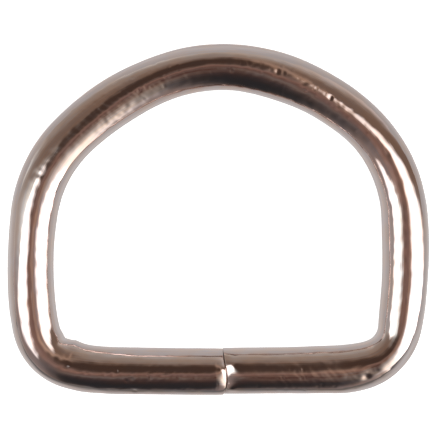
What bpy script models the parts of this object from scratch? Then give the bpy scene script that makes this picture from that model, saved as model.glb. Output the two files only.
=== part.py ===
"""D ring for 25 mm webbing, bent from one length of round wire and lying flat.

The wire starts at an open butt seam in the bar, goes round one corner, up the side, over the crown and
back down to the seam. Its centreline is a chain of tangent arcs, drawn from the apex outwards as two
halves that are not quite mirror images. Its section is a little out of round where the bending tools
pressed it, so the body is lofted through sections of changing width.

The ring lies in the XY plane with the crown towards +Y. Its lowest face is at Z = 0, and the origin is
under the middle of its outline. Lengths are in metres.
"""
import math
from bisect import bisect_left
from dataclasses import dataclass

import bmesh
import bpy
import numpy as np
from mathutils import Matrix, Vector

MM = 0.001

# Driving sizes
WIRE_DIAMETER = 3.5 * MM
INSIDE_WIDTH = 25.0 * MM  # between the sides, where they are widest apart
INSIDE_HEIGHT = 19.6 * MM  # from the bar at the seam to the crown
SHOULDER_BEND = 8.5 * MM  # inside radius between crown and side
CORNER_BEND = 1.8 * MM  # inside radius of the tight bend at each end of the bar
CORNER_EASE = 12.0 * MM  # inside radius of the slacker bends above and beside it
APEX_SHIFT = 0.4 * MM  # apex, to the right of the middle
SEAM_SHIFT = 0.6 * MM  # seam, to the right of the middle
SEAM_GAP = 0.1 * MM
SEAM_STEP = 0.06 * MM  # how much lower the left wire end sits than the right one
END_ROUNDING = 0.6 * MM  # on the rim of both wire ends
BAR_DROOP = math.radians(0.6)  # slope of both halves of the bar down to the seam

# Shape of the crown
APEX_TIGHTNESS = 0.67  # radius over the apex, as a share of the crown's radius

# Fineness of the mesh
SECTION_SIDES = 24
LONGEST_STEP = 0.9 * MM
WIDEST_TURN = math.radians(7.0)
ROUNDING_STEPS = 4
SHARP_ANGLE = math.radians(40.0)

NICKEL = {"Base Color": (0.67, 0.58, 0.555, 1.0), "Metallic": 1.0, "Roughness": 0.12}


@dataclass(frozen=True)
class Half:
    """Bends of one half from apex to seam: turns in degrees, and shares of the radii above."""

    side: int
    apex_turn: float
    crown_turn: float
    shoulder_turn: float
    side_turn: float
    upper_ease_turn: float
    lower_ease_turn: float
    shoulder_share: float
    corner_share: float
    ease_share: float
    rounding_share: float


RIGHT = Half(
    side=1,
    apex_turn=9.0,
    crown_turn=31.0,
    shoulder_turn=46.0,
    side_turn=12.0,
    upper_ease_turn=5.0,
    lower_ease_turn=17.0,
    shoulder_share=1.03,
    corner_share=0.98,
    ease_share=0.62,
    rounding_share=1.2,
)
LEFT = Half(
    side=-1,
    apex_turn=21.0,
    crown_turn=24.5,
    shoulder_turn=36.5,
    side_turn=12.5,
    upper_ease_turn=7.5,
    lower_ease_turn=10.5,
    shoulder_share=0.96,
    corner_share=1.05,
    ease_share=1.37,
    rounding_share=0.8,
)


@dataclass(frozen=True)
class Pressed:
    """Width of the wire seen from above, as a share of its diameter, at a share of the way to the seam."""

    along: float
    left: float
    right: float


PRESSED = (
    Pressed(along=0.0, left=1.00, right=1.00),
    Pressed(along=0.1, left=1.01, right=1.035),
    Pressed(along=0.2, left=1.06, right=0.985),
    Pressed(along=0.3, left=1.035, right=0.945),
    Pressed(along=0.4, left=1.02, right=0.98),
    Pressed(along=0.5, left=0.98, right=1.02),
    Pressed(along=0.6, left=1.00, right=0.985),
    Pressed(along=0.7, left=0.995, right=0.93),
    Pressed(along=0.8, left=1.015, right=1.05),
    Pressed(along=0.9, left=1.00, right=1.00),
    Pressed(along=1.0, left=1.005, right=1.00),
)


@dataclass(frozen=True)
class Bend:
    """One arc of a half: its two headings off the apex's, and its radius in terms of the solved ones."""

    start: float
    end: float
    known_radius: float = 0.0
    crown_share: float = 0.0
    flank_share: float = 0.0

    def swing(self, limit=math.pi):
        """How far the arc carries the wire out and down for each metre of radius, up to a heading."""
        start = min(self.start, limit)
        end = min(self.end, limit)
        return np.array([math.sin(end) - math.sin(start), math.cos(start) - math.cos(end)])

    def radius(self, crown, flank):
        return self.known_radius + self.crown_share * crown + self.flank_share * flank


@dataclass(frozen=True)
class Station:
    """A section of the wire: its centre, its heading off the apex's, and what its rounding takes off."""

    centre: Vector
    heading: float
    side: int
    along: float
    shrink: float = 0.0


def bends_of(half):
    """The half's arcs in order. The tight corner turns by what the others leave."""
    neutral = WIRE_DIAMETER / 2
    shoulder = SHOULDER_BEND * half.shoulder_share + neutral
    corner = CORNER_BEND * half.corner_share + neutral
    ease = CORNER_EASE * half.ease_share + neutral
    before_corner = [
        (half.apex_turn, {"crown_share": APEX_TIGHTNESS}),
        (half.crown_turn, {"crown_share": 1.0}),
        (half.shoulder_turn, {"known_radius": shoulder}),
        (half.side_turn, {"flank_share": 1.0}),
        (half.upper_ease_turn, {"known_radius": ease}),
    ]
    spent = math.radians(sum(turn for turn, _ in before_corner) + half.lower_ease_turn)
    corner_turn = math.degrees(math.pi - BAR_DROOP - spent)
    rows = before_corner + [
        (corner_turn, {"known_radius": corner}),
        (half.lower_ease_turn, {"known_radius": ease}),
    ]
    bends = []
    heading = 0.0
    for turn, size in rows:
        end = heading + math.radians(turn)
        bends.append(Bend(heading, end, **size))
        heading = end
    return bends


def solve_half(half, bends):
    """Crown radius, side radius and bar length that give the stated width, height and seam."""
    widest = [bend.swing(limit=math.pi / 2)[0] for bend in bends]
    whole = [bend.swing() for bend in bends]
    rows = np.column_stack([widest, np.array(whole)]).T
    known = rows @ [bend.known_radius for bend in bends]
    crown = rows @ [bend.crown_share for bend in bends]
    flank = rows @ [bend.flank_share for bend in bends]
    bar = np.array([0.0, -math.cos(BAR_DROOP), math.sin(BAR_DROOP)])
    height = INSIDE_HEIGHT + WIRE_DIAMETER - half.side * SEAM_STEP / 2
    wanted = np.array([
        (INSIDE_WIDTH + WIRE_DIAMETER) / 2 - half.side * APEX_SHIFT,
        half.side * (SEAM_SHIFT - APEX_SHIFT) + SEAM_GAP / 2,
        height,
    ])
    return np.linalg.solve(np.column_stack([crown, flank, bar]), wanted - known)


def step_count(length, turn=0.0):
    return max(1, math.ceil(length / LONGEST_STEP), math.ceil(turn / WIDEST_TURN))


def end_stations(half, start, heading, length, travelled, total):
    """The half's share of the bar, and the rounded end of the wire at the seam."""
    direction = Vector((half.side * math.cos(heading), -math.sin(heading), 0.0))
    rounding = END_ROUNDING * half.rounding_share
    plain = length - rounding
    count = step_count(plain)
    places = [(plain * k / count, 0.0) for k in range(1, count + 1)]
    for k in range(1, ROUNDING_STEPS + 1):
        angle = math.pi / 2 * k / ROUNDING_STEPS
        places.append((plain + rounding * math.sin(angle), rounding * (1.0 - math.cos(angle))))
    return [
        Station(start + direction * place, heading, half.side, (travelled + place) / total, shrink)
        for place, shrink in places
    ]


def apex_point():
    return Vector((APEX_SHIFT, (INSIDE_HEIGHT + WIRE_DIAMETER) / 2, 0.0))


def half_stations(half):
    """Every station of one half, from the one after the apex to the wire's end."""
    bends = bends_of(half)
    crown, flank, bar = solve_half(half, bends)
    lengths = [bend.radius(crown, flank) * (bend.end - bend.start) for bend in bends]
    total = sum(lengths) + bar
    start = apex_point()
    travelled = 0.0
    stations = []
    for bend, length in zip(bends, lengths):
        radius = bend.radius(crown, flank)
        count = step_count(length, bend.end - bend.start)
        for k in range(1, count + 1):
            share = k / count
            heading = bend.start + (bend.end - bend.start) * share
            out, down = Bend(bend.start, heading).swing() * radius
            centre = start + Vector((half.side * out, -down, 0.0))
            along = (travelled + length * share) / total
            stations.append(Station(centre, heading, half.side, along))
        start = centre
        travelled += length
    return stations + end_stations(half, start, bends[-1].end, bar, travelled, total)


def wire_stations():
    """The whole wire, from its left end over the apex to its right end."""
    apex = Station(apex_point(), heading=0.0, side=RIGHT.side, along=0.0)
    return half_stations(LEFT)[::-1] + [apex] + half_stations(RIGHT)


def pressed_width(station):
    """The width share at a station, eased from one row of the table to the next."""
    shares = [row.left if station.side < 0 else row.right for row in PRESSED]
    places = [row.along for row in PRESSED]
    after = min(max(bisect_left(places, station.along), 1), len(places) - 1)
    t = (station.along - places[after - 1]) / (places[after] - places[after - 1])
    eased = t * t * (3.0 - 2.0 * t)
    return shares[after - 1] + (shares[after] - shares[after - 1]) * eased


def section_matrix(station):
    """Turns a unit circle into the section there: X points out of the ring, Y up and Z along the wire."""
    sine, cosine = math.sin(station.heading), math.cos(station.heading)
    outward = Vector((station.side * sine, cosine, 0.0))
    up = Vector((0.0, 0.0, 1.0))
    axes = Matrix((outward, up, outward.cross(up))).transposed().to_4x4()
    # The flats, not the corners, lie at the wire's radius, and one of them faces straight down.
    to_corner = 1.0 / math.cos(math.pi / SECTION_SIDES)
    half_width = (WIRE_DIAMETER * pressed_width(station) / 2 - station.shrink) * to_corner
    half_height = (WIRE_DIAMETER / 2 - station.shrink) * to_corner
    size = Matrix.Diagonal((half_width, half_height, 1.0, 1.0))
    half_step = Matrix.Rotation(math.pi / SECTION_SIDES, 4, "Z")
    return Matrix.Translation(station.centre) @ axes @ size @ half_step


def section_edges(bm, station):
    made = bmesh.ops.create_circle(
        bm, cap_ends=False, radius=1.0, segments=SECTION_SIDES, matrix=section_matrix(station)
    )
    return list({edge for vert in made["verts"] for edge in vert.link_edges})


def rest_on_ground(bm):
    """Moves the body so that the origin is under the middle of its outline."""
    points = np.array([vert.co for vert in bm.verts])
    low, high = points.min(axis=0), points.max(axis=0)
    middle = (low + high) / 2
    bmesh.ops.translate(bm, verts=bm.verts, vec=(-middle[0], -middle[1], -low[2]))


def wire_mesh(name):
    """Lofts the wire through its stations and closes both ends."""
    bm = bmesh.new()
    loops = [section_edges(bm, station) for station in wire_stations()]
    for before, after in zip(loops, loops[1:]):
        bmesh.ops.bridge_loops(bm, edges=before + after)
    for end in (loops[0], loops[-1]):
        bmesh.ops.edgeloop_fill(bm, edges=end)
    bmesh.ops.recalc_face_normals(bm, faces=bm.faces)
    rest_on_ground(bm)
    mesh = bpy.data.meshes.new(name)
    bm.to_mesh(mesh)
    bm.free()
    mesh.shade_smooth()
    mesh.set_sharp_from_angle(angle=SHARP_ANGLE)
    return mesh


def nickel_plating():
    material = bpy.data.materials.new("nickel_plating")
    material.use_nodes = True
    shader = material.node_tree.nodes["Principled BSDF"]
    for socket, value in NICKEL.items():
        shader.inputs[socket].default_value = value
    return material


def clear_scene():
    for obj in list(bpy.data.objects):
        bpy.data.objects.remove(obj)


def main():
    clear_scene()
    parts = bpy.data.collections.new("D ring")
    bpy.context.scene.collection.children.link(parts)
    mesh = wire_mesh("d_ring")
    mesh.materials.append(nickel_plating())
    parts.objects.link(bpy.data.objects.new("d_ring", mesh))


main()
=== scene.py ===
"""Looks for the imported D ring: one bent, nickel-plated wire lying on a pale floor, seen from straight above.

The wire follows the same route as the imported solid: a chain of tangent arcs, solved from the inside width,
the inside height and the place of the seam. Here it is fine enough to carry the marks of its making: the
stretches that the dies pressed, the bent corners, scuffs, hatching, pits and the two wire ends at the seam.
Lengths are in metres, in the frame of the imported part.
"""
from __future__ import annotations

import logging
import math
from dataclasses import dataclass
from enum import Enum
from typing import Iterable

import bmesh
import bpy
import numpy as np
from mathutils import Matrix, Vector, noise


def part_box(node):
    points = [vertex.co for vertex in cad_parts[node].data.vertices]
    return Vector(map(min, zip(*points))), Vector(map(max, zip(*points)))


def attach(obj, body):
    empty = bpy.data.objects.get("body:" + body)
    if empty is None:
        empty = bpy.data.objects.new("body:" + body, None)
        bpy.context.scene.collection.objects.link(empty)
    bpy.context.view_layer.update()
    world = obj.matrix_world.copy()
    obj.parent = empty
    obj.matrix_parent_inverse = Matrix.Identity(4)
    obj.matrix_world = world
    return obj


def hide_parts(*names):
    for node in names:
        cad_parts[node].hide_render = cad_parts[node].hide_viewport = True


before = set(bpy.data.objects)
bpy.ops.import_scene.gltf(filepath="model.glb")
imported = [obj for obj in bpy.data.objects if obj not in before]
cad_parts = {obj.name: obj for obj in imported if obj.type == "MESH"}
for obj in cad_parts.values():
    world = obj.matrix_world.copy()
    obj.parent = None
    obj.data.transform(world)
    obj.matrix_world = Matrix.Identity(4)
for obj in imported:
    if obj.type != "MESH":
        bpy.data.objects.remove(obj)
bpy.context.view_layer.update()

LOG = logging.getLogger("d_ring")
MM = 0.001
STRAIGHT = "straight"
NEARLY_ZERO = 0.000001

Colour = tuple[float, float, float]


class Side(Enum):
    """Half of the wire, by the way it leaves the apex along X."""

    LEFT = -1
    RIGHT = 1


def smooth_step(value: float | np.ndarray) -> float | np.ndarray:
    """Eases a share, or each share of an array, from 0 to 1."""
    share = np.clip(value, 0.0, 1.0)
    return share * share * (3.0 - 2.0 * share)


@dataclass(frozen=True)
class Bend:
    """One arc of a half: its two headings off the apex's, and its radius in terms of the solved ones."""

    start: float
    end: float
    known_radius: float = 0.0
    crown_share: float = 0.0
    flank_share: float = 0.0

    def swing(self, limit: float = math.pi) -> np.ndarray:
        """How far the arc carries the wire out and down for each metre of radius.

        Args:
            limit: heading at which the arc is cut off, in radians.

        Returns:
            The share of the radius gained outwards and downwards.
        """
        start = min(self.start, limit)
        end = min(self.end, limit)
        return np.array([math.sin(end) - math.sin(start), math.cos(start) - math.cos(end)])

    def radius(self, crown: float, flank: float) -> float:
        """The arc's radius once the crown's and the flank's are known."""
        return self.known_radius + self.crown_share * crown + self.flank_share * flank


@dataclass(frozen=True)
class HalfForm:
    """One half from apex to seam: turns in degrees, shares of the route's radii, and its end's rounding."""

    side: Side
    apex_turn: float
    crown_turn: float
    shoulder_turn: float
    side_turn: float
    upper_ease_turn: float
    lower_ease_turn: float
    shoulder_share: float
    corner_share: float
    ease_share: float
    end_taper: float
    end_depth: float


@dataclass(frozen=True)
class Station:
    """A section of the wire: its centre, its heading off the apex's, and how far along its half it is."""

    centre: Vector
    heading: float
    side: Side
    run: float
    along: float
    shrink: float = 0.0
    end_share: float = 0.0


RIGHT_FORM = HalfForm(
    side=Side.RIGHT,
    apex_turn=9.0,
    crown_turn=31.0,
    shoulder_turn=46.0,
    side_turn=12.0,
    upper_ease_turn=5.0,
    lower_ease_turn=17.0,
    shoulder_share=1.03,
    corner_share=0.98,
    ease_share=0.62,
    end_taper=1.5 * MM,
    end_depth=0.325 * MM,
)
LEFT_FORM = HalfForm(
    side=Side.LEFT,
    apex_turn=21.0,
    crown_turn=24.5,
    shoulder_turn=36.5,
    side_turn=12.5,
    upper_ease_turn=7.5,
    lower_ease_turn=10.5,
    shoulder_share=0.96,
    corner_share=1.05,
    ease_share=1.37,
    end_taper=0.9 * MM,
    end_depth=0.31 * MM,
)
# Widths of the wire seen from above, as shares of its diameter, in even steps from the apex to the seam.
PRESSED = {
    Side.LEFT: (1.0, 1.01, 1.06, 1.035, 1.02, 0.98, 1.0, 0.995, 1.015, 1.0, 1.005),
    Side.RIGHT: (1.0, 1.035, 0.985, 0.945, 0.98, 1.02, 0.985, 0.93, 1.05, 1.0, 1.0),
}
# How far the seam stands right of its place, for places across the wire from the opening to the outside.
SEAM_LINE = {
    -1.0: -0.22 * MM,
    -0.5: -0.11 * MM,
    -0.2: -0.03 * MM,
    0.1: 0.06 * MM,
    0.4: 0.12 * MM,
    0.6: 0.09 * MM,
    0.8: -0.09 * MM,
    1.0: -0.21 * MM,
}


@dataclass(frozen=True)
class WireRoute:
    """The wire's route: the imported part's sizes, and the stations along it."""

    wire_diameter: float = 3.5 * MM
    inside_width: float = 25.0 * MM
    inside_height: float = 19.6 * MM
    shoulder_bend: float = 8.5 * MM
    corner_bend: float = 1.8 * MM
    corner_ease: float = 12.0 * MM
    apex_shift: float = 0.4 * MM
    seam_shift: float = 0.6 * MM
    seam_gap: float = 0.016 * MM
    seam_step: float = 0.06 * MM
    end_turn: float = math.radians(60.0)
    end_lead: float = 0.9 * MM
    bar_droop: float = math.radians(0.6)
    apex_tightness: float = 0.67
    longest_step: float = 0.42 * MM
    rounding_steps: int = 7

    def bends(self, form: HalfForm) -> list[Bend]:
        """The arcs of a half in order; the tight corner turns by what the others leave.

        Args:
            form: the half's turns and shares.

        Returns:
            The arcs from the apex to the start of the bar.
        """
        neutral = self.wire_diameter / 2
        shoulder = self.shoulder_bend * form.shoulder_share + neutral
        corner = self.corner_bend * form.corner_share + neutral
        ease = self.corner_ease * form.ease_share + neutral
        before_corner = [
            (form.apex_turn, {"crown_share": self.apex_tightness}),
            (form.crown_turn, {"crown_share": 1.0}),
            (form.shoulder_turn, {"known_radius": shoulder}),
            (form.side_turn, {"flank_share": 1.0}),
            (form.upper_ease_turn, {"known_radius": ease}),
        ]
        spent = math.radians(sum(turn for turn, _ in before_corner) + form.lower_ease_turn)
        corner_turn = math.degrees(math.pi - self.bar_droop - spent)
        rows = before_corner + [
            (corner_turn, {"known_radius": corner}),
            (form.lower_ease_turn, {"known_radius": ease}),
        ]
        arcs = []
        heading = 0.0
        for turn, size in rows:
            end = heading + math.radians(turn)
            arcs.append(Bend(heading, end, **size))
            heading = end
        return arcs

    def solve(self, form: HalfForm, arcs: list[Bend]) -> np.ndarray:
        """Finds what makes the half meet the stated width, height and seam.

        Args:
            form: the half's turns and shares.
            arcs: its arcs in order.

        Returns:
            The crown's radius, the flank's radius and the bar's length.
        """
        side = form.side.value
        widest = [arc.swing(limit=math.pi / 2)[0] for arc in arcs]
        whole = [arc.swing() for arc in arcs]
        rows = np.column_stack([widest, np.array(whole)]).T
        known = rows @ [arc.known_radius for arc in arcs]
        crown = rows @ [arc.crown_share for arc in arcs]
        flank = rows @ [arc.flank_share for arc in arcs]
        bar = np.array([0.0, -math.cos(self.bar_droop), math.sin(self.bar_droop)])
        wanted = np.array([
            (self.inside_width + self.wire_diameter) / 2 - side * self.apex_shift,
            side * (self.seam_shift - self.apex_shift) + self.seam_gap / 2,
            self.inside_height + self.wire_diameter - side * self.seam_step / 2,
        ])
        return np.linalg.solve(np.column_stack([crown, flank, bar]), wanted - known)

    def apex(self) -> Vector:
        """Centre of the wire at the top of the crown."""
        return Vector((self.apex_shift, (self.inside_height + self.wire_diameter) / 2, 0.0))

    def half_stations(self, form: HalfForm) -> list[Station]:
        """Every station of one half, from the one after the apex to the wire's end.

        Args:
            form: the half's turns and shares.

        Returns:
            The stations in order.
        """
        arcs = self.bends(form)
        crown, flank, bar = self.solve(form, arcs)
        lengths = [arc.radius(crown, flank) * (arc.end - arc.start) for arc in arcs]
        total = sum(lengths) + bar
        start = self.apex()
        travelled = 0.0
        found = []
        for arc, length in zip(arcs, lengths):
            radius = arc.radius(crown, flank)
            count = max(1, math.ceil(length / self.longest_step))
            for k in range(1, count + 1):
                heading = arc.start + (arc.end - arc.start) * k / count
                out, down = Bend(arc.start, heading).swing() * radius
                centre = start + Vector((form.side.value * out, -down, 0.0))
                gone = travelled + length * k / count
                found.append(Station(centre, heading, form.side, gone, gone / total))
            start = centre
            travelled += length
        return found + self.bar_stations(form, start, arcs[-1].end, bar, total)

    def bar_stations(
        self, form: HalfForm, start: Vector, heading: float, bar: float, total: float
    ) -> list[Station]:
        """The half's share of the bar, and the rounded end of the wire at the seam.

        Args:
            form: the half's turns and shares.
            start: where the bar starts.
            heading: the bar's heading off the apex's.
            bar: the bar's length.
            total: the half's whole length.

        Returns:
            The stations in order.
        """
        direction = Vector((form.side.value * math.cos(heading), -math.sin(heading), 0.0))
        plain = bar - form.end_taper
        count = math.ceil(plain / self.longest_step)
        places = [(plain * k / count, 0.0) for k in range(1, count + 1)]
        for k in range(1, self.rounding_steps + 1):
            angle = self.end_turn * k / self.rounding_steps
            gone = math.sin(angle) / math.sin(self.end_turn)
            sunk = (1.0 - math.cos(angle)) / (1.0 - math.cos(self.end_turn))
            places.append((plain + form.end_taper * gone, form.end_depth * sunk))
        before = total - bar
        lead = form.end_taper + self.end_lead
        return [
            Station(
                start + direction * place,
                heading,
                form.side,
                before + place,
                (before + place) / total,
                shrink,
                smooth_step(1.0 - (bar - place) / lead),
            )
            for place, shrink in places
        ]

    def stations(self) -> list[Station]:
        """The whole wire, from its left end over the apex to its right end."""
        apex = Station(self.apex(), 0.0, Side.RIGHT, 0.0, 0.0)
        return self.half_stations(LEFT_FORM)[::-1] + [apex] + self.half_stations(RIGHT_FORM)

    def half_length(self, form: HalfForm) -> float:
        """Length of one half from the apex to the seam."""
        return self.half_stations(form)[-1].run

    def seam_shift_at(self, outward: float) -> float:
        """The seam's shift along X at a place across the wire, from -1 at the opening to 1 outside."""
        return float(np.interp(outward, list(SEAM_LINE), list(SEAM_LINE.values())))

    def width_share(self, station: Station) -> float:
        """The pressed width at a station, eased from one entry of the table to the next.

        Args:
            station: the section asked about.

        Returns:
            Its width as a share of the wire's diameter.
        """
        shares = PRESSED[station.side]
        place = station.along * (len(shares) - 1)
        before = min(int(place), len(shares) - 2)
        return shares[before] + (shares[before + 1] - shares[before]) * smooth_step(place - before)


@dataclass(frozen=True)
class Skin:
    """The wire's surface points, unrolled: places on the straight wire, and what follows from them."""

    straight: np.ndarray
    radius: float
    left_length: float
    right_length: float

    @property
    def around(self) -> np.ndarray:
        """Place round the wire in degrees, 0 out of the ring and 90 up."""
        return np.degrees(np.arctan2(self.straight[:, 1], self.straight[:, 0]))

    @property
    def side(self) -> np.ndarray:
        """-1 on the left half and 1 on the right."""
        return np.where(self.straight[:, 2] < 0.0, -1, 1)

    @property
    def from_seam(self) -> np.ndarray:
        """Distance along the wire from the half's own end."""
        length = np.where(self.side < 0, self.left_length, self.right_length)
        return length - np.abs(self.straight[:, 2])


@dataclass(frozen=True)
class Mark:
    """A rise or dip in the wire's surface: its place, its reach along the wire, its width and its height.

    The place round the wire is in degrees: 0 faces out of the ring, 90 up and 180 into the opening.
    """

    side: Side
    from_seam: float
    around: float
    reach: float
    width: float
    height: float

    def rise(self, skin: Skin) -> np.ndarray:
        """How far the mark lifts each point of the surface.

        Args:
            skin: the surface's places on the straight wire.

        Returns:
            The rise of each point.
        """
        off = (skin.around - self.around + 180.0) % 360.0 - 180.0
        across = np.radians(off) * skin.radius / self.width
        along = (skin.from_seam - self.from_seam) / self.reach
        here = skin.side == self.side.value
        return np.where(here, self.height * np.exp(-across**2 - along**2), 0.0)


@dataclass(frozen=True)
class Ripple:
    """Slight unevenness left by drawing, bending and plating, drawn out along the wire by its stretch."""

    grain: float
    stretch: float
    height: float
    seed: float

    def rise(self, skin: Skin) -> np.ndarray:
        """How far the ripple lifts each point of the surface."""
        places = skin.straight * (1.0, 1.0, 1.0 / self.stretch) / self.grain + self.seed
        return self.height * np.array([noise.noise(place) for place in places])


@dataclass(frozen=True)
class Squeeze:
    """A stretch whose upper side the bending dies pressed a little oval and a little three-cornered.

    Its run is measured from the apex, below zero on the left. The oval and the corners are shares of the
    wire's radius, and each axis is where one of their lobes stands round the wire. The outline and the
    underside stay as they are.
    """

    run: float
    reach: float
    oval: float
    oval_axis: float
    corners: float
    corners_axis: float
    fade: float = 0.45

    def rise(self, skin: Skin) -> np.ndarray:
        """How far the squeeze lifts each point of the surface.

        Args:
            skin: the surface's places on the straight wire.

        Returns:
            The rise of each point.
        """
        along = (skin.straight[:, 2] - self.run) / self.reach
        oval = self.oval * np.cos(2.0 * np.radians(skin.around - self.oval_axis))
        corners = self.corners * np.cos(3.0 * np.radians(skin.around - self.corners_axis))
        upper = smooth_step(np.sin(np.radians(skin.around)) / self.fade)
        return skin.radius * (oval + corners) * upper * np.exp(-along**2)


@dataclass(frozen=True)
class Hatch:
    """Short slanting strokes where the wire slid over a die: their window, spacing, length and slant."""

    window: Mark
    spacing: float
    length: float
    slant: float
    seed: float

    def rise(self, skin: Skin) -> np.ndarray:
        """How far the strokes lift each point of the surface.

        Args:
            skin: the surface's places on the straight wire.

        Returns:
            The rise of each point.
        """
        round_way = np.radians(skin.around) * skin.radius
        run = skin.straight[:, 2]
        turn = math.radians(self.slant)
        across = (run * math.cos(turn) - round_way * math.sin(turn)) / self.spacing
        along = (run * math.sin(turn) + round_way * math.cos(turn)) / self.length
        strokes = [noise.noise((x, y, self.seed)) for x, y in zip(across, along)]
        return self.window.rise(skin) * np.array(strokes)


@dataclass(frozen=True)
class Pitting:
    """Small dimples: their window, with their depth as its height, their size and how rare they are."""

    window: Mark
    grain: float
    threshold: float
    seed: float

    def rise(self, skin: Skin) -> np.ndarray:
        """How far the dimples sink each point of the surface.

        Args:
            skin: the surface's places on the straight wire.

        Returns:
            The rise of each point, which is nowhere above zero.
        """
        values = np.array([noise.noise(place) for place in skin.straight / self.grain + self.seed])
        dimples = np.clip((values - self.threshold) / (1.0 - self.threshold), 0.0, 1.0)
        return -self.window.rise(skin) * dimples


@dataclass(frozen=True)
class Scuff:
    """A stretch roughened by the bending tool: where it is, and the ripple it is filled with."""

    window: Mark
    ripple: Ripple

    def rise(self, skin: Skin) -> np.ndarray:
        """How far the scuff lifts each point of the surface."""
        return self.window.rise(skin) * self.ripple.rise(skin)


MARKS = (
    # Round the left corner and up the left side
    Mark(Side.LEFT, from_seam=12.0 * MM, around=182, reach=0.85 * MM, width=0.9 * MM, height=0.175 * MM),
    Mark(Side.LEFT, from_seam=13.7 * MM, around=174, reach=0.42 * MM, width=0.85 * MM, height=-0.145 * MM),
    Mark(Side.LEFT, from_seam=24.0 * MM, around=180, reach=9.0 * MM, width=1.2 * MM, height=0.035 * MM),
    Mark(Side.LEFT, from_seam=10.7 * MM, around=0, reach=0.9 * MM, width=1.0 * MM, height=0.05 * MM),
    Mark(Side.LEFT, from_seam=11.7 * MM, around=122, reach=0.7 * MM, width=0.3 * MM, height=-0.035 * MM),
    Mark(Side.LEFT, from_seam=12.9 * MM, around=42, reach=1.5 * MM, width=0.16 * MM, height=0.014 * MM),
    Mark(Side.LEFT, from_seam=6.8 * MM, around=43, reach=0.16 * MM, width=0.15 * MM, height=-0.05 * MM),
    # Round the right corner and up to the right shoulder
    Mark(Side.RIGHT, from_seam=13.3 * MM, around=178, reach=1.25 * MM, width=0.9 * MM, height=-0.16 * MM),
    Mark(Side.RIGHT, from_seam=10.8 * MM, around=0, reach=1.3 * MM, width=1.0 * MM, height=0.05 * MM),
    Mark(Side.RIGHT, from_seam=7.6 * MM, around=0, reach=1.2 * MM, width=1.0 * MM, height=-0.05 * MM),
    Mark(Side.RIGHT, from_seam=10.3 * MM, around=70, reach=0.28 * MM, width=0.2 * MM, height=-0.06 * MM),
    Mark(Side.RIGHT, from_seam=10.9 * MM, around=84, reach=0.5 * MM, width=0.3 * MM, height=-0.03 * MM),
    Mark(Side.RIGHT, from_seam=12.2 * MM, around=86, reach=1.5 * MM, width=0.65 * MM, height=0.075 * MM),
    Mark(Side.RIGHT, from_seam=13.6 * MM, around=34, reach=1.1 * MM, width=0.5 * MM, height=-0.05 * MM),
    Mark(Side.RIGHT, from_seam=28.2 * MM, around=96, reach=0.35 * MM, width=0.25 * MM, height=-0.02 * MM),
    # Small dents on the crown
    Mark(Side.RIGHT, from_seam=42.0 * MM, around=108, reach=0.14 * MM, width=0.12 * MM, height=-0.026 * MM),
    Mark(Side.RIGHT, from_seam=38.6 * MM, around=89, reach=0.15 * MM, width=0.12 * MM, height=-0.03 * MM),
    Mark(Side.RIGHT, from_seam=34.3 * MM, around=94, reach=0.14 * MM, width=0.12 * MM, height=-0.022 * MM),
    # The two ends at the seam
    Mark(Side.LEFT, from_seam=0.2 * MM, around=103, reach=0.32 * MM, width=0.42 * MM, height=0.1 * MM),
    Mark(Side.LEFT, from_seam=0.0 * MM, around=60, reach=0.75 * MM, width=0.5 * MM, height=-0.06 * MM),
    Mark(Side.RIGHT, from_seam=0.4 * MM, around=54, reach=0.45 * MM, width=0.4 * MM, height=0.11 * MM),
    Mark(Side.RIGHT, from_seam=0.6 * MM, around=117, reach=0.4 * MM, width=0.4 * MM, height=0.04 * MM),
)
SCUFFS = (
    Scuff(
        Mark(Side.RIGHT, from_seam=11.2 * MM, around=74, reach=1.5 * MM, width=0.9 * MM, height=0.022 * MM),
        Ripple(grain=0.3 * MM, stretch=1.8, height=1.0, seed=11.7),
    ),
    Scuff(
        Mark(Side.LEFT, from_seam=11.6 * MM, around=100, reach=1.6 * MM, width=1.0 * MM, height=0.009 * MM),
        Ripple(grain=0.3 * MM, stretch=1.6, height=1.0, seed=5.9),
    ),
    Scuff(
        Mark(Side.RIGHT, from_seam=33.2 * MM, around=98, reach=1.4 * MM, width=0.5 * MM, height=0.012 * MM),
        Ripple(grain=0.28 * MM, stretch=1.3, height=1.0, seed=17.3),
    ),
    Scuff(
        Mark(Side.LEFT, from_seam=34.8 * MM, around=125, reach=1.8 * MM, width=0.6 * MM, height=0.012 * MM),
        Ripple(grain=0.28 * MM, stretch=1.5, height=1.0, seed=23.1),
    ),
    Scuff(
        Mark(Side.LEFT, from_seam=27.8 * MM, around=82, reach=0.8 * MM, width=0.45 * MM, height=0.02 * MM),
        Ripple(grain=0.32 * MM, stretch=1.3, height=1.0, seed=41.3),
    ),
)
RIPPLES = (
    Ripple(grain=1.3 * MM, stretch=3.0, height=0.009 * MM, seed=3.1),
    Ripple(grain=0.42 * MM, stretch=1.7, height=0.0075 * MM, seed=7.3),
    Ripple(grain=0.26 * MM, stretch=2.4, height=0.003 * MM, seed=19.7),
)
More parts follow.
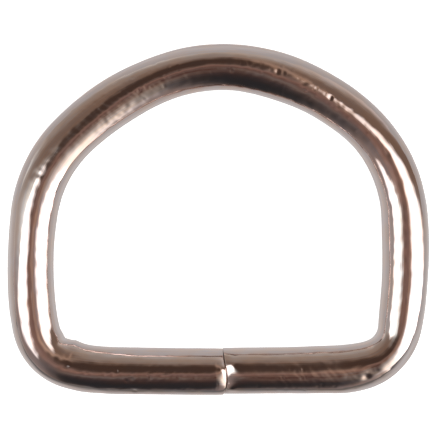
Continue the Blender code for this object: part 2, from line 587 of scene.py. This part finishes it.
SQUEEZES = (
    Squeeze(run=-40.0 * MM, reach=5.0 * MM, oval=0.044, oval_axis=38.0, corners=0.019, corners_axis=-12.0),
    Squeeze(run=-33.0 * MM, reach=3.0 * MM, oval=0.027, oval_axis=-6.0, corners=0.030, corners_axis=-48.0),
    Squeeze(run=-24.0 * MM, reach=6.0 * MM, oval=0.066, oval_axis=-57.0, corners=0.038, corners_axis=50.0),
    Squeeze(run=-12.0 * MM, reach=6.0 * MM, oval=0.060, oval_axis=-46.0, corners=0.025, corners_axis=16.0),
    Squeeze(run=0.0 * MM, reach=7.0 * MM, oval=0.083, oval_axis=-23.0, corners=0.072, corners_axis=-42.0),
    Squeeze(run=10.0 * MM, reach=5.0 * MM, oval=0.076, oval_axis=-26.0, corners=0.010, corners_axis=0.0),
    Squeeze(run=22.0 * MM, reach=6.0 * MM, oval=0.028, oval_axis=-80.0, corners=0.017, corners_axis=40.0),
    Squeeze(run=30.0 * MM, reach=3.0 * MM, oval=0.064, oval_axis=-31.0, corners=0.040, corners_axis=-41.0),
    Squeeze(run=38.0 * MM, reach=5.0 * MM, oval=0.020, oval_axis=60.0, corners=0.018, corners_axis=50.0),
)
HATCHES = (
    Hatch(
        Mark(Side.LEFT, from_seam=35.5 * MM, around=92, reach=5.0 * MM, width=0.8 * MM, height=0.012 * MM),
        spacing=0.24 * MM, length=0.8 * MM, slant=35.0, seed=2.7,
    ),
    Hatch(
        Mark(Side.LEFT, from_seam=5.5 * MM, around=80, reach=4.5 * MM, width=0.9 * MM, height=0.014 * MM),
        spacing=0.24 * MM, length=0.7 * MM, slant=-40.0, seed=6.1,
    ),
    Hatch(
        Mark(Side.RIGHT, from_seam=6.5 * MM, around=78, reach=4.0 * MM, width=0.9 * MM, height=0.012 * MM),
        spacing=0.22 * MM, length=0.9 * MM, slant=48.0, seed=9.7,
    ),
    Hatch(
        Mark(Side.RIGHT, from_seam=37.5 * MM, around=92, reach=6.0 * MM, width=0.9 * MM, height=0.010 * MM),
        spacing=0.24 * MM, length=1.0 * MM, slant=-52.0, seed=15.2,
    ),
)
PITTING = (
    Pitting(
        Mark(Side.LEFT, from_seam=5.5 * MM, around=72, reach=5.0 * MM, width=1.2 * MM, height=0.05 * MM),
        grain=0.3 * MM, threshold=0.36, seed=31.9,
    ),
    Pitting(
        Mark(Side.RIGHT, from_seam=6.0 * MM, around=72, reach=5.0 * MM, width=1.2 * MM, height=0.045 * MM),
        grain=0.3 * MM, threshold=0.4, seed=14.3,
    ),
    Pitting(
        Mark(Side.RIGHT, from_seam=38.0 * MM, around=92, reach=7.0 * MM, width=1.1 * MM, height=0.045 * MM),
        grain=0.28 * MM, threshold=0.4, seed=8.2,
    ),
    Pitting(
        Mark(Side.LEFT, from_seam=38.0 * MM, around=88, reach=6.0 * MM, width=1.0 * MM, height=0.045 * MM),
        grain=0.28 * MM, threshold=0.4, seed=52.6,
    ),
)


@dataclass(frozen=True)
class NickelPlating:
    """Bright nickel plating: a warm mirror with fine drawn lines and cloudy patches."""

    tint: Colour = (0.66, 0.58, 0.57)
    warm_tint: Colour = (0.71, 0.565, 0.50)
    warm_range: tuple[float, float] = (0.35, 0.65)
    smoothest: float = 0.025
    roughest: float = 0.07
    rough_range: tuple[float, float] = (0.35, 0.75)
    cloud_grain: float = 0.9 * MM
    cloud_stretch: float = 1.6
    line_grain: float = 0.12 * MM
    line_stretch: float = 40.0
    line_depth: float = 0.007 * MM
    line_strength: float = 0.5

    def material(self) -> bpy.types.Material:
        """The plating as a node material that reads the wire's own straightened places.

        Returns:
            The new material.
        """
        material = bpy.data.materials.new("nickel_plating")
        material.use_nodes = True
        sheet = NodeSheet(material.node_tree)
        shader = sheet.tree.nodes["Principled BSDF"]
        shader.inputs["Metallic"].default_value = 1.0
        straight = sheet.add("ShaderNodeAttribute", {"attribute_name": STRAIGHT}).outputs["Vector"]
        clouds = sheet.noise(straight, stretch=self.cloud_stretch, grain=self.cloud_grain, detail=3.0)
        lines = sheet.noise(straight, stretch=self.line_stretch, grain=self.line_grain, detail=2.0)
        warmth = sheet.math("MULTIPLY", sheet.math("ADD", clouds, lines), 0.5)
        warmth = sheet.ease(warmth, *self.warm_range, 0.0, 1.0)
        sheet.join(sheet.blend(warmth, self.tint, self.warm_tint), shader.inputs["Base Color"])
        roughness = sheet.ease(clouds, *self.rough_range, self.smoothest, self.roughest)
        sheet.join(roughness, shader.inputs["Roughness"])
        inputs = {"Strength": self.line_strength, "Distance": self.line_depth, "Height": lines}
        bump = sheet.add("ShaderNodeBump", {}, inputs)
        sheet.join(bump.outputs["Normal"], shader.inputs["Normal"])
        return material


class NodeSheet:
    """Short calls that add and join the nodes of one node tree."""

    def __init__(self, tree: bpy.types.NodeTree) -> None:
        """Keeps the tree to work on."""
        self.tree = tree

    def add(self, kind: str, settings: dict | None = None, inputs: dict | None = None) -> bpy.types.Node:
        """Adds a node.

        Args:
            kind: the node's type name.
            settings: values for its properties.
            inputs: a value or an output socket for each named input.

        Returns:
            The new node.
        """
        node = self.tree.nodes.new(kind)
        for name, value in (settings or {}).items():
            setattr(node, name, value)
        for name, value in (inputs or {}).items():
            self.join(value, node.inputs[name])
        return node

    def join(self, source: object, target: bpy.types.NodeSocket) -> None:
        """Links an output to an input, or sets the input to a plain value.

        Args:
            source: the output socket or the value.
            target: the input.
        """
        if isinstance(source, bpy.types.NodeSocket):
            self.tree.links.new(source, target)
        else:
            target.default_value = source

    def math(self, operation: str, *values: object) -> bpy.types.NodeSocket:
        """Adds a Math node.

        Args:
            operation: what it works out.
            *values: its inputs in order, each a socket or a number.

        Returns:
            Its output socket.
        """
        node = self.add("ShaderNodeMath", {"operation": operation})
        for socket, value in zip(node.inputs, values):
            self.join(value, socket)
        return node.outputs["Value"]

    def ease(
        self, value: object, low: float, high: float, to_low: float, to_high: float
    ) -> bpy.types.NodeSocket:
        """Maps a range smoothly onto another.

        Args:
            value: what is mapped.
            low: start of its range.
            high: end of its range.
            to_low: result at the start.
            to_high: result at the end.

        Returns:
            The mapped value's socket.
        """
        inputs = {"Value": value, "From Min": low, "From Max": high, "To Min": to_low, "To Max": to_high}
        return self.add("ShaderNodeMapRange", {"interpolation_type": "SMOOTHSTEP"}, inputs).outputs["Result"]

    def noise(self, place: object, stretch: float, grain: float, detail: float) -> bpy.types.NodeSocket:
        """Adds noise that is drawn out along the wire.

        Args:
            place: socket with the place on the straight wire.
            stretch: how many times longer than wide the pattern is.
            grain: its width.
            detail: its number of finer layers.

        Returns:
            The noise's value socket.
        """
        mapping = self.add("ShaderNodeMapping", {}, {"Vector": place, "Scale": (1.0, 1.0, 1.0 / stretch)})
        inputs = {"Vector": mapping.outputs["Vector"], "Scale": 1.0 / grain, "Detail": detail}
        return self.add("ShaderNodeTexNoise", {}, inputs).outputs["Fac"]

    def add_light(self, share: object, under: object, tone: Colour) -> bpy.types.NodeSocket:
        """Adds a share of a colour to what is there already.

        Args:
            share: how much of the colour is added.
            under: what is there already.
            tone: the colour.

        Returns:
            The sum's socket.
        """
        scaled = self.add("ShaderNodeVectorMath", {"operation": "SCALE"}, {0: tone, "Scale": share})
        inputs = {0: under, 1: scaled.outputs["Vector"]}
        return self.add("ShaderNodeVectorMath", {"operation": "ADD"}, inputs).outputs["Vector"]

    def blend(self, share: object, first: object, second: object) -> bpy.types.NodeSocket:
        """Mixes two colours.

        Args:
            share: how much of the second shows.
            first: the colour at a share of 0.
            second: the colour at a share of 1.

        Returns:
            The result's socket.
        """
        node = self.add("ShaderNodeMix", {"data_type": "RGBA"})
        self.join(share, node.inputs["Factor"])
        for name, colour in (("A", first), ("B", second)):
            socket = [one for one in node.inputs if one.name == name and one.type == "RGBA"][0]
            self.join(colour if isinstance(colour, bpy.types.NodeSocket) else (*colour, 1.0), socket)
        return [one for one in node.outputs if one.type == "RGBA"][0]


@dataclass(frozen=True)
class RingWire:
    """The ring itself: the wire lofted round along its route, with the marks of its making."""

    route: WireRoute = WireRoute()
    plating: NickelPlating = NickelPlating()
    cage_sides: int = 24
    smoothing: int = 2
    skin_room: float = 0.009 * MM
    side_rounding: float = 0.04
    end_insets: tuple[float, ...] = (0.05 * MM, 0.15 * MM, 0.5 * MM)

    @property
    def radius(self) -> float:
        """The finished wire's radius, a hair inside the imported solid's flats."""
        return self.route.wire_diameter / 2 - self.skin_room

    def section(self, station: Station) -> Matrix:
        """Turns a unit circle into the cage's section at a station.

        Args:
            station: the section asked about.

        Returns:
            A matrix whose X points out of the ring, Y up and Z along the wire.
        """
        sine, cosine = math.sin(station.heading), math.cos(station.heading)
        outward = Vector((station.side.value * sine, cosine, 0.0))
        up = Vector((0.0, 0.0, 1.0))
        axes = Matrix((outward, up, outward.cross(up))).transposed().to_4x4()
        # Subdivision draws a closed loop of points in to this share of its radius.
        drawn_in = (2.0 + math.cos(2.0 * math.pi / self.cage_sides)) / 3.0
        half_width = self.radius * self.route.width_share(station) - station.shrink * self.side_rounding
        half_width /= drawn_in
        half_height = (self.radius - station.shrink) / drawn_in
        size = Matrix.Diagonal((half_width, half_height, 1.0, 1.0))
        return Matrix.Translation(station.centre) @ axes @ size

    def wrap(self, bm: bmesh.types.BMesh, station: Station) -> list[bmesh.types.BMEdge]:
        """Adds one section as a ring of edges that know their places on the straight wire.

        Args:
            bm: the mesh that grows.
            station: where the section is.

        Returns:
            The ring's edges.
        """
        layer = bm.verts.layers.float_vector[STRAIGHT]
        matrix = self.section(station)
        made = bmesh.ops.create_circle(
            bm, cap_ends=False, radius=1.0, segments=self.cage_sides, matrix=matrix
        )
        back = matrix.inverted()
        for vert in made["verts"]:
            flat = back @ vert.co
            shift = self.route.seam_shift_at(flat.x) * station.end_share
            run = station.run * station.side.value - shift
            vert[layer] = Vector((flat.x * self.radius, flat.y * self.radius, run))
            vert.co.x += shift
        return list({edge for vert in made["verts"] for edge in vert.link_edges})

    def cage(self) -> bpy.types.Object:
        """Lofts a coarse wire through the stations and closes both ends.

        Returns:
            The cage, with the subdivision that will round it.
        """
        bm = bmesh.new()
        bm.verts.layers.float_vector.new(STRAIGHT)
        rings = [self.wrap(bm, station) for station in self.route.stations()]
        for before, after in zip(rings, rings[1:]):
            bmesh.ops.bridge_loops(bm, edges=before + after)
        for end in (rings[0], rings[-1]):
            face = bmesh.ops.edgeloop_fill(bm, edges=end)["faces"]
            for inset in self.end_insets:
                bmesh.ops.inset_region(bm, faces=face, thickness=inset, use_even_offset=True)
        bmesh.ops.recalc_face_normals(bm, faces=bm.faces)
        mesh = bpy.data.meshes.new("ring_cage")
        bm.to_mesh(mesh)
        bm.free()
        cage = bpy.data.objects.new("ring_cage", mesh)
        bpy.context.scene.collection.objects.link(cage)
        rounding = cage.modifiers.new("rounding", "SUBSURF")
        rounding.levels = self.smoothing
        rounding.render_levels = self.smoothing
        return cage

    def carve(self, mesh: bpy.types.Mesh) -> None:
        """Lifts and sinks the surface by its marks and ripples.

        Args:
            mesh: the rounded wire.
        """
        count = len(mesh.vertices)
        straight = np.zeros(count * 3)
        mesh.attributes[STRAIGHT].data.foreach_get("vector", straight)
        skin = Skin(
            straight.reshape(count, 3),
            self.radius,
            self.route.half_length(LEFT_FORM),
            self.route.half_length(RIGHT_FORM),
        )
        rise = sum(shape.rise(skin) for shape in MARKS + SQUEEZES + SCUFFS + RIPPLES + HATCHES + PITTING)
        places = np.zeros(count * 3)
        normals = np.zeros(count * 3)
        mesh.vertices.foreach_get("co", places)
        mesh.vertices.foreach_get("normal", normals)
        moved = places.reshape(count, 3) + normals.reshape(count, 3) * rise[:, None]
        low, high = moved.min(axis=0), moved.max(axis=0)
        packed_low, packed_high = (np.array(corner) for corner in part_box("d_ring"))
        fit = np.minimum(1.0, (packed_high - packed_low) / (high - low))
        moved = (moved - (low + high) / 2) * fit + (packed_low + packed_high) / 2
        mesh.vertices.foreach_set("co", moved.ravel())
        mesh.update()

    def build(self) -> bpy.types.Object:
        """Rounds the cage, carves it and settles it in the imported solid's place.

        Returns:
            The new object.
        """
        cage = self.cage()
        graph = bpy.context.evaluated_depsgraph_get()
        mesh = bpy.data.meshes.new_from_object(cage.evaluated_get(graph))
        mesh.name = "ring_wire"
        bpy.data.objects.remove(cage)
        self.carve(mesh)
        mesh.shade_smooth()
        piece = bpy.data.objects.new("ring_wire", mesh)
        bpy.context.scene.collection.objects.link(piece)
        return piece

    def dress(self, piece: bpy.types.Object) -> None:
        """Plates the wire, hangs it under the root body and hides the imported solid.

        Args:
            piece: the wire's object.
        """
        piece.data.materials.append(self.plating.material())
        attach(piece, "root")
        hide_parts("d_ring")


def facing(azimuth: float, tilt: float, distance: float, roll: float) -> Matrix:
    """Where a panel stands that faces the ring.

    Args:
        azimuth: its bearing from +X, in degrees.
        tilt: its angle off straight up, in degrees.
        distance: how far it is from the ring.
        roll: its turn about the line to the ring, in degrees.

    Returns:
        A matrix whose Z points away from the ring.
    """
    turn = Matrix.Rotation(math.radians(azimuth), 4, "Z") @ Matrix.Rotation(math.radians(tilt), 4, "Y")
    out = turn @ Vector((0.0, 0.0, distance))
    return Matrix.Translation(out) @ turn @ Matrix.Rotation(math.radians(roll), 4, "Z")


@dataclass(frozen=True)
class Softbox:
    """A flat light that fades towards its edges: where it stands, its half sides, and its brightness.

    Its squareness runs from 2 for an oval to 8 for nearly a rectangle.
    """

    name: str
    azimuth: float
    tilt: float
    distance: float
    roll: float
    half_width: float
    half_height: float
    squareness: float
    feather: float
    radiance: float

    def build(self) -> bpy.types.Object:
        """Adds the light, hidden from the camera itself.

        Returns:
            The light's object.
        """
        data = bpy.data.lights.new(self.name, "AREA")
        data.shape = "RECTANGLE"
        data.size = 2.0 * self.half_width * (1.0 + self.feather)
        data.size_y = 2.0 * self.half_height * (1.0 + self.feather)
        data.energy = math.pi * data.size * data.size_y
        data.use_nodes = True
        sheet = NodeSheet(data.node_tree)
        place = sheet.add("ShaderNodeNewGeometry").outputs["Parametric"]
        axes = sheet.add("ShaderNodeSeparateXYZ", {}, {"Vector": place})
        powers = []
        for axis in ("X", "Y"):
            off = sheet.math("ABSOLUTE", sheet.math("SUBTRACT", axes.outputs[axis], 0.5))
            reach = sheet.math("MULTIPLY", off, 2.0 * (1.0 + self.feather))
            powers.append(sheet.math("POWER", reach, self.squareness))
        reach = sheet.math("POWER", sheet.math("ADD", *powers), 1.0 / self.squareness)
        glow = sheet.ease(reach, 1.0 - self.feather, 1.0 + self.feather, self.radiance, 0.0)
        sheet.join(glow, sheet.tree.nodes["Emission"].inputs["Strength"])
        light = bpy.data.objects.new(self.name, data)
        light.matrix_world = facing(self.azimuth, self.tilt, self.distance, self.roll)
        light.visible_camera = False
        bpy.context.scene.collection.objects.link(light)
        return light


@dataclass(frozen=True)
class Patch:
    """A soft patch of the room: its bearing and tilt, its reach out and across, and its colour.

    Its sharpness is 1 for a soft cloud and 5 for nearly a hard edge.
    """

    name: str
    azimuth: float
    tilt: float
    reach: float
    breadth: float
    turn: float
    sharpness: float
    colour: Colour

    def spread(self, sheet: NodeSheet, sky: bpy.types.NodeSocket, under: object) -> bpy.types.NodeSocket:
        """Lays the patch over what is there already.

        Args:
            sheet: the world's nodes.
            sky: socket with the direction drawn on a flat map.
            under: the colour under the patch.

        Returns:
            The new colour's socket.
        """
        bearing = math.radians(self.azimuth)
        out = math.tan(math.radians(self.tilt) / 2.0)
        centre = (out * math.cos(bearing), out * math.sin(bearing), 0.0)
        inputs = {
            "Vector": sky,
            "Location": centre,
            "Rotation": (0.0, 0.0, bearing + math.radians(self.turn)),
            "Scale": (self.reach, self.breadth, 1.0),
        }
        place = sheet.add("ShaderNodeMapping", {"vector_type": "TEXTURE", "label": self.name}, inputs)
        inputs = {"Vector": place.outputs["Vector"]}
        length = sheet.add("ShaderNodeVectorMath", {"operation": "LENGTH"}, inputs)
        depth = sheet.math("POWER", length.outputs["Value"], 2.0 * self.sharpness)
        share = sheet.math("EXPONENT", sheet.math("MULTIPLY", depth, -1.0))
        return sheet.blend(share, under, self.colour)


@dataclass(frozen=True)
class Room:
    """What the plating mirrors beyond the lights: four walls and the patches in front of them."""

    north: Colour = (0.53, 0.50, 0.46)
    south: Colour = (3.0, 2.8, 2.45)
    west: Colour = (2.65, 3.0, 3.0)
    east: Colour = (0.97, 0.91, 0.94)
    backdrop: Colour = (0.9, 0.9, 0.9)
    patches: tuple[Patch, ...] = (
        Patch(
            "west window", azimuth=225.0, tilt=49.5, reach=1.0, breadth=0.1, turn=-68.0,
            sharpness=5.0, colour=(3.0, 3.0, 3.0),
        ),
        Patch(
            "brown strip overhead", azimuth=-38.0, tilt=1.0, reach=0.9, breadth=0.118, turn=72.0,
            sharpness=3.3, colour=(0.75, 0.50, 0.42),
        ),
        Patch(
            "grey south wall", azimuth=269.0, tilt=81.5, reach=1.6, breadth=0.53, turn=49.5,
            sharpness=4.4, colour=(0.31, 0.26, 0.25),
        ),
        Patch(
            "grey corner", azimuth=76.0, tilt=45.5, reach=1.6, breadth=0.375, turn=-90.5,
            sharpness=2.25, colour=(0.365, 0.305, 0.26),
        ),
        Patch(
            "warm ceiling edge", azimuth=50.0, tilt=42.5, reach=0.23, breadth=1.6, turn=43.5,
            sharpness=1.8, colour=(0.225, 0.16, 0.125),
        ),
        Patch(
            "black curtain", azimuth=-98.5, tilt=63.0, reach=0.57, breadth=0.35, turn=-18.5,
            sharpness=1.95, colour=(0.03, 0.031, 0.034),
        ),
        Patch(
            "brown ceiling edge", azimuth=-76.0, tilt=19.5, reach=0.167, breadth=0.235, turn=60.0,
            sharpness=0.86, colour=(0.095, 0.048, 0.04),
        ),
        Patch(
            "lamp glint", azimuth=61.0, tilt=24.5, reach=0.245, breadth=0.05, turn=27.5,
            sharpness=1.1, colour=(0.66, 0.48, 0.37),
        ),
        Patch(
            "dark ceiling", azimuth=106.5, tilt=21.5, reach=0.237, breadth=0.154, turn=-44.5,
            sharpness=2.5, colour=(0.075, 0.048, 0.037),
        ),
    )

    def build(self) -> bpy.types.World:
        """Makes the world, with a pale backdrop where the camera looks past the floor.

        Returns:
            The world.
        """
        world = bpy.data.worlds.new("room")
        world.use_nodes = True
        sheet = NodeSheet(world.node_tree)
        way = sheet.add("ShaderNodeTexCoord").outputs["Generated"]
        axes = sheet.add("ShaderNodeSeparateXYZ", {}, {"Vector": way})
        east, north, up = (axes.outputs[name] for name in ("X", "Y", "Z"))
        level = sheet.math("ADD", sheet.math("MULTIPLY", east, east), sheet.math("MULTIPLY", north, north))
        colour = (0.0, 0.0, 0.0)
        level = sheet.math("MAXIMUM", level, NEARLY_ZERO)
        walls = (
            (north, 1.0, self.north),
            (north, -1.0, self.south),
            (east, 1.0, self.east),
            (east, -1.0, self.west),
        )
        for axis, sign, tone in walls:
            out = sheet.math("MAXIMUM", sheet.math("MULTIPLY", axis, sign), 0.0)
            share = sheet.math("DIVIDE", sheet.math("MULTIPLY", out, out), level)
            colour = sheet.add_light(share, colour, tone)
        # The sky drawn flat, straight up in the middle and the horizon at one.
        height = sheet.math("MAXIMUM", sheet.math("ADD", up, 1.0), NEARLY_ZERO)
        flat = sheet.math("DIVIDE", 1.0, height)
        sky = sheet.add("ShaderNodeCombineXYZ")
        sheet.join(sheet.math("MULTIPLY", east, flat), sky.inputs["X"])
        sheet.join(sheet.math("MULTIPLY", north, flat), sky.inputs["Y"])
        for patch in self.patches:
            colour = patch.spread(sheet, sky.outputs["Vector"], colour)
        mirrored = sheet.tree.nodes["Background"]
        sheet.join(colour, mirrored.inputs["Color"])
        seen = sheet.add("ShaderNodeBackground", {}, {"Color": (*self.backdrop, 1.0)})
        path = sheet.add("ShaderNodeLightPath")
        mix = sheet.add("ShaderNodeMixShader")
        sheet.join(path.outputs["Is Camera Ray"], mix.inputs["Fac"])
        sheet.join(mirrored.outputs["Background"], mix.inputs[1])
        sheet.join(seen.outputs["Background"], mix.inputs[2])
        sheet.join(mix.outputs["Shader"], sheet.tree.nodes["World Output"].inputs["Surface"])
        bpy.context.scene.world = world
        return world


def stage_piece(name: str, bm: bmesh.types.BMesh, material: bpy.types.Material) -> bpy.types.Object:
    """Turns a bmesh into a staged object with one material.

    Args:
        name: the object's name.
        bm: its shape, which is freed.
        material: its finish.

    Returns:
        The new object.
    """
    mesh = bpy.data.meshes.new(name)
    bm.to_mesh(mesh)
    bm.free()
    mesh.materials.append(material)
    piece = bpy.data.objects.new(name, mesh)
    bpy.context.scene.collection.objects.link(piece)
    return piece


@dataclass(frozen=True)
class PaleFloor:
    """The pale floor under the ring, and a dimmer glowing floor that the plating mirrors in its place, with
    painted light and shade in its glow.
    """

    size: float = 1.2
    thickness: float = 0.002
    colour: Colour = (0.86, 0.86, 0.86)
    roughness: float = 0.9
    specular: float = 0.1
    glow: float = 0.9
    mirrored_drop: float = 0.02 * MM
    # The mirrored floor's glow: its painted shadow of the ring, its painted falloff from near to far, and its
    # painted shade to the south.
    mirrored_painted_shadow: float = 0.62
    mirrored_near: float = 0.7
    mirrored_far: float = 0.52
    south_painted_shade: float = 0.65
    south_start: float = -12.0 * MM
    south_reach: float = 17.0 * MM

    def slab(self, name: str, top: float, material: bpy.types.Material) -> bpy.types.Object:
        """Adds a thin square slab.

        Args:
            name: its name.
            top: height of its upper face.
            material: its finish.

        Returns:
            The slab's object.
        """
        bm = bmesh.new()
        size = Matrix.Diagonal((self.size, self.size, self.thickness, 1.0))
        place = Matrix.Translation((0.0, 0.0, top - self.thickness / 2))
        bmesh.ops.create_cube(bm, size=1.0, matrix=place @ size)
        return stage_piece(name, bm, material)

    def seen_material(self) -> bpy.types.Material:
        """White and evenly lit, as a backlit sheet is.

        Returns:
            The new material.
        """
        material = bpy.data.materials.new("pale_floor")
        material.use_nodes = True
        shader = material.node_tree.nodes["Principled BSDF"]
        shader.inputs["Base Color"].default_value = (*self.colour, 1.0)
        shader.inputs["Roughness"].default_value = self.roughness
        shader.inputs["Specular IOR Level"].default_value = self.specular
        shader.inputs["Emission Color"].default_value = (1.0, 1.0, 1.0, 1.0)
        shader.inputs["Emission Strength"].default_value = self.glow
        return material

    def mirrored_material(self) -> bpy.types.Material:
        """The same sheet as a glowing card with painted light and shade: a painted shadow of the ring, a
        painted falloff where it is seen at a flat angle, and painted shade to the south.

        Returns:
            The new material.
        """
        material = bpy.data.materials.new("mirrored_floor")
        material.use_nodes = True
        sheet = NodeSheet(material.node_tree)
        sheet.tree.nodes.remove(sheet.tree.nodes["Principled BSDF"])
        flatness = sheet.add("ShaderNodeLayerWeight").outputs["Facing"]
        # Painted falloff of light: the glow dims from near to far as the sheet is seen at a flatter angle.
        strength = sheet.ease(flatness, 0.1, 1.0, self.mirrored_near, self.mirrored_far)
        # Painted shadow of the ring: the glow dims where the sheet is seen straight on, right under the wire.
        shadow = sheet.ease(flatness, 0.0, 0.2, self.mirrored_painted_shadow / self.mirrored_near, 1.0)
        # Painted shade to the south: the glow dims towards -Y from its start.
        place = sheet.add("ShaderNodeTexCoord").outputs["Object"]
        north = sheet.add("ShaderNodeSeparateXYZ", {}, {"Vector": place}).outputs["Y"]
        south_end = self.south_start - self.south_reach
        south = sheet.ease(north, south_end, self.south_start, 1.0 - self.south_painted_shade, 1.0)
        strength = sheet.math("MULTIPLY", sheet.math("MULTIPLY", strength, shadow), south)
        glow = sheet.add("ShaderNodeEmission", {}, {"Strength": strength})
        sheet.join(glow.outputs["Emission"], sheet.tree.nodes["Material Output"].inputs["Surface"])
        return material

    def build(self) -> list[bpy.types.Object]:
        """Adds both floors.

        Returns:
            The floor that the camera sees, and the one that the plating mirrors.
        """
        seen = self.slab("pale_floor", 0.0, self.seen_material())
        seen.visible_glossy = False
        mirrored = self.slab("mirrored_floor", -self.mirrored_drop, self.mirrored_material())
        mirrored.visible_camera = False
        mirrored.visible_diffuse = False
        mirrored.visible_shadow = False
        return [seen, mirrored]


@dataclass(frozen=True)
class Studio:
    """The floor, the two softboxes and the room."""

    floor: PaleFloor = PaleFloor()
    room: Room = Room()
    softboxes: tuple[Softbox, ...] = (
        Softbox(
            name="left_softbox",
            azimuth=193.5,
            tilt=43.5,
            distance=54.0 * MM,
            roll=-59.0,
            half_width=11.75 * MM,
            half_height=20.5 * MM,
            squareness=6.0,
            feather=0.3,
            radiance=1.85,
        ),
        Softbox(
            name="right_softbox",
            azimuth=-10.5,
            tilt=57.0,
            distance=106.0 * MM,
            roll=61.5,
            half_width=38.8 * MM,
            half_height=106.0 * MM,
            squareness=2.2,
            feather=0.3,
            radiance=1.85,
        ),
    )

    def build(self) -> list[bpy.types.Object]:
        """Sets up the whole studio and returns its objects."""
        self.room.build()
        return self.floor.build() + [box.build() for box in self.softboxes]


@dataclass(frozen=True)
class OverheadCamera:
    """The camera, looking straight down on the ring from close by."""

    aim: tuple[float, float] = (0.05 * MM, 0.02 * MM)
    wire_height: float = 1.75 * MM
    distance: float = 70.0 * MM
    lens_for_distance: float = 1.083
    sensor: float = 36.0
    nearest: float = 1.0 * MM
    farthest: float = 10.0

    def build(self) -> bpy.types.Object:
        """Adds the camera and makes it the scene's own.

        Returns:
            The camera's object.
        """
        data = bpy.data.cameras.new("overhead")
        data.sensor_width = self.sensor
        data.lens = self.lens_for_distance * self.distance / MM
        data.clip_start = self.nearest
        data.clip_end = self.farthest
        camera = bpy.data.objects.new("overhead", data)
        camera.location = (*self.aim, self.wire_height + self.distance)
        bpy.context.scene.collection.objects.link(camera)
        bpy.context.scene.camera = camera
        return camera


def set_tones() -> None:
    """Shows the lights' values as they are, without a film curve."""
    settings = bpy.context.scene.view_settings
    settings.view_transform = "Standard"
    settings.look = "None"


def report(pieces: Iterable[bpy.types.Object]) -> None:
    """Logs each piece's name and size.

    Args:
        pieces: the objects to name.
    """
    for piece in pieces:
        count = len(piece.data.polygons) if piece.type == "MESH" else 0
        LOG.info("%s: %d faces, %s m", piece.name, count, [round(side, 5) for side in piece.dimensions])


def main() -> None:
    """Builds the camera, the studio and the ring, and reports each of them."""
    logging.basicConfig(level=logging.INFO, format="%(name)s: %(message)s")
    OverheadCamera().build()
    set_tones()
    report(Studio().build())
    ring = RingWire()
    wire = ring.build()
    ring.dress(wire)
    report([wire])


if __name__ == "__main__":
    main()
